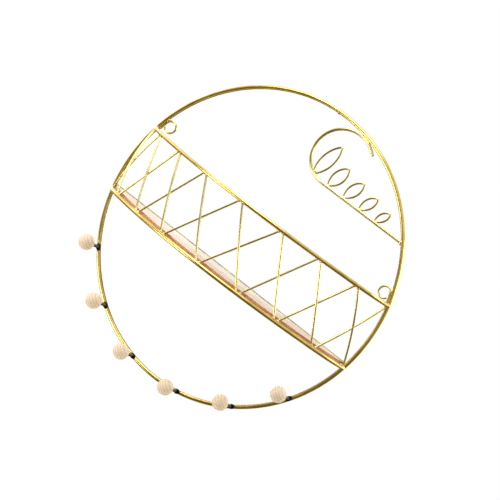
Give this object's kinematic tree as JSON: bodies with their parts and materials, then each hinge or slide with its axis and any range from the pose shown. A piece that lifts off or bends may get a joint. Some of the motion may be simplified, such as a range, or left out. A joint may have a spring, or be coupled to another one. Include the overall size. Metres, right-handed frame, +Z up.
{
  "type": "round wire wall rack",
  "caption": "Round gold wire wall rack: hoop with a bow-fronted basket and wooden floor, a curled bar with wire leaves, and wooden ball pegs below.",
  "frame": {"origin": "midpoint between the centres of the two hanging eyelets, in the hoop's plane", "axes": "+X to the right as a person faces the rack, +Z up, -Y out from the wall"},
  "size_m": [0.3, 0.0795, 0.3029],
  "materials": {
    "gold_wire": "bright gold lacquer on iron wire",
    "peg_metal": "dark burnished steel",
    "ball_wood": "raw turned beech",
    "board_wood": "raw sawn pine board"
  },
  "bodies": {
    "rack": {"hoop": "gold_wire", "top_bow_rail": "gold_wire", "bottom_bow_rail": "gold_wire", "bottom_back_rail": "gold_wire", "board_rest_wire_left": "gold_wire", "board_rest_wire_middle": "gold_wire", "board_rest_wire_right": "gold_wire", "lattice_falling_1": "gold_wire", "lattice_rising_1": "gold_wire", "lattice_falling_2": "gold_wire", "lattice_rising_2": "gold_wire", "lattice_falling_3": "gold_wire", "lattice_rising_3": "gold_wire", "lattice_falling_4": "gold_wire", "lattice_rising_4": "gold_wire", "lattice_falling_5": "gold_wire", "lattice_rising_5": "gold_wire", "lattice_falling_6": "gold_wire", "lattice_rising_6": "gold_wire", "lattice_falling_7": "gold_wire", "lattice_rising_7": "gold_wire", "lattice_falling_8": "gold_wire", "lattice_rising_8": "gold_wire", "eyelet_left": "gold_wire", "eyelet_right": "gold_wire", "curled_bar": "gold_wire", "leaf_1": "gold_wire", "leaf_2": "gold_wire", "leaf_3": "gold_wire", "leaf_4": "gold_wire", "leaf_5": "gold_wire", "peg_1": "peg_metal", "peg_2": "peg_metal", "peg_3": "peg_metal", "peg_4": "peg_metal", "peg_5": "peg_metal", "peg_6": "peg_metal", "ball_1": "ball_wood", "ball_2": "ball_wood", "ball_3": "ball_wood", "ball_4": "ball_wood", "ball_5": "ball_wood", "ball_6": "ball_wood"},
    "board": {"shelf_board": "board_wood"}
  },
  "joints": [
    {"name": "board_lift", "type": "slide", "parent": "rack", "child": "board", "axis": [0, 0, 1], "range_m": [0, 0.085]}
  ]
}
